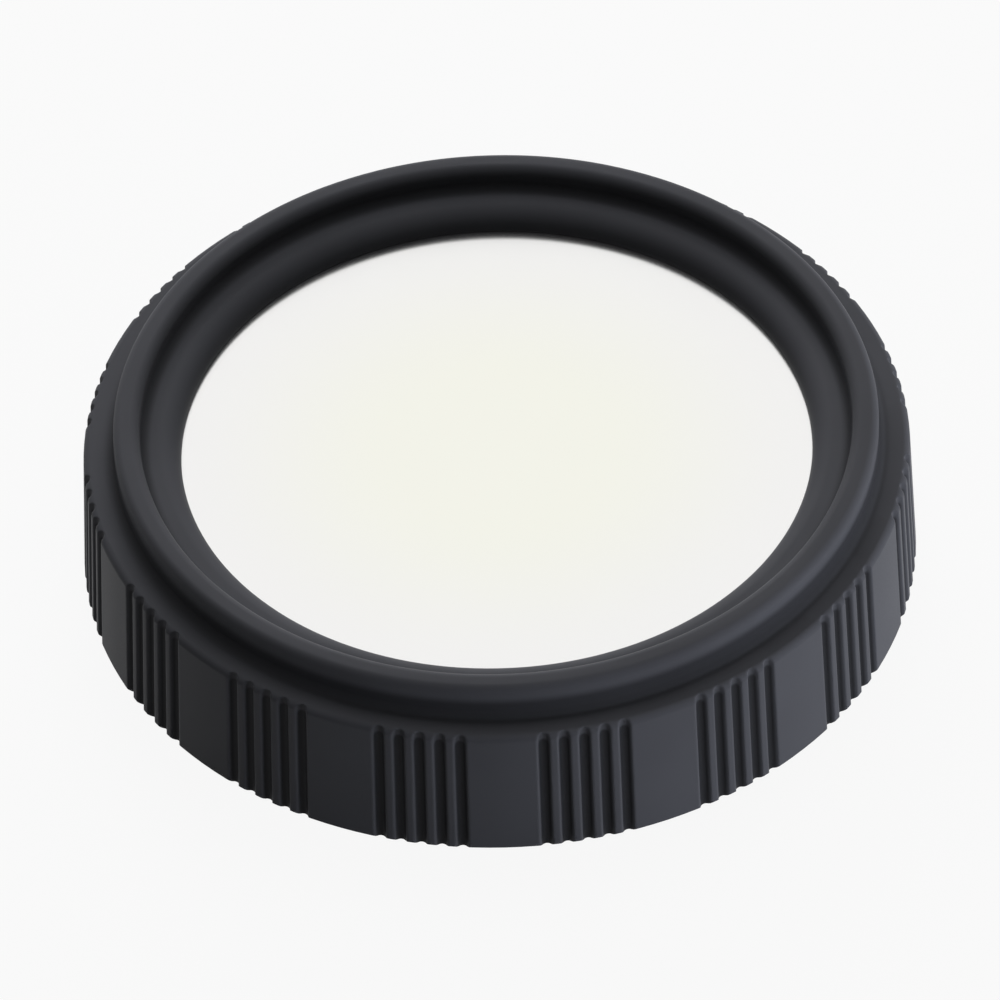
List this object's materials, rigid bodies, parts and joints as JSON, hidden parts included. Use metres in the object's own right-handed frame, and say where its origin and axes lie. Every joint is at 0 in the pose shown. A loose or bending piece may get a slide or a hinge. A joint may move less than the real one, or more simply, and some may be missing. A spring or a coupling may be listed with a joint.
{
  "type": "telescope solar filter",
  "caption": "Slip-on solar filter cell with a silver-white film window, a stepped front rim and a grooved grip skirt, for the front of a small refracting telescope.",
  "frame": {"origin": "centre of the skirt's open mouth, on the surface that the cell stands on", "axes": "+Z along the optical axis, out of the front of the filter towards the sun; a smooth pad of the grip faces -Y"},
  "size_m": [0.092, 0.092, 0.0204],
  "materials": {
    "cell_plastic": "satin black moulded ABS with a fine grain",
    "solar_film": "silver-white metallised front, dark grey polymer back",
    "ring_plastic": "matt black moulded ABS"
  },
  "bodies": {
    "root": {"front_cell": "cell_plastic", "solar_film": "solar_film", "retaining_ring": "ring_plastic"}
  },
  "joints": []
}
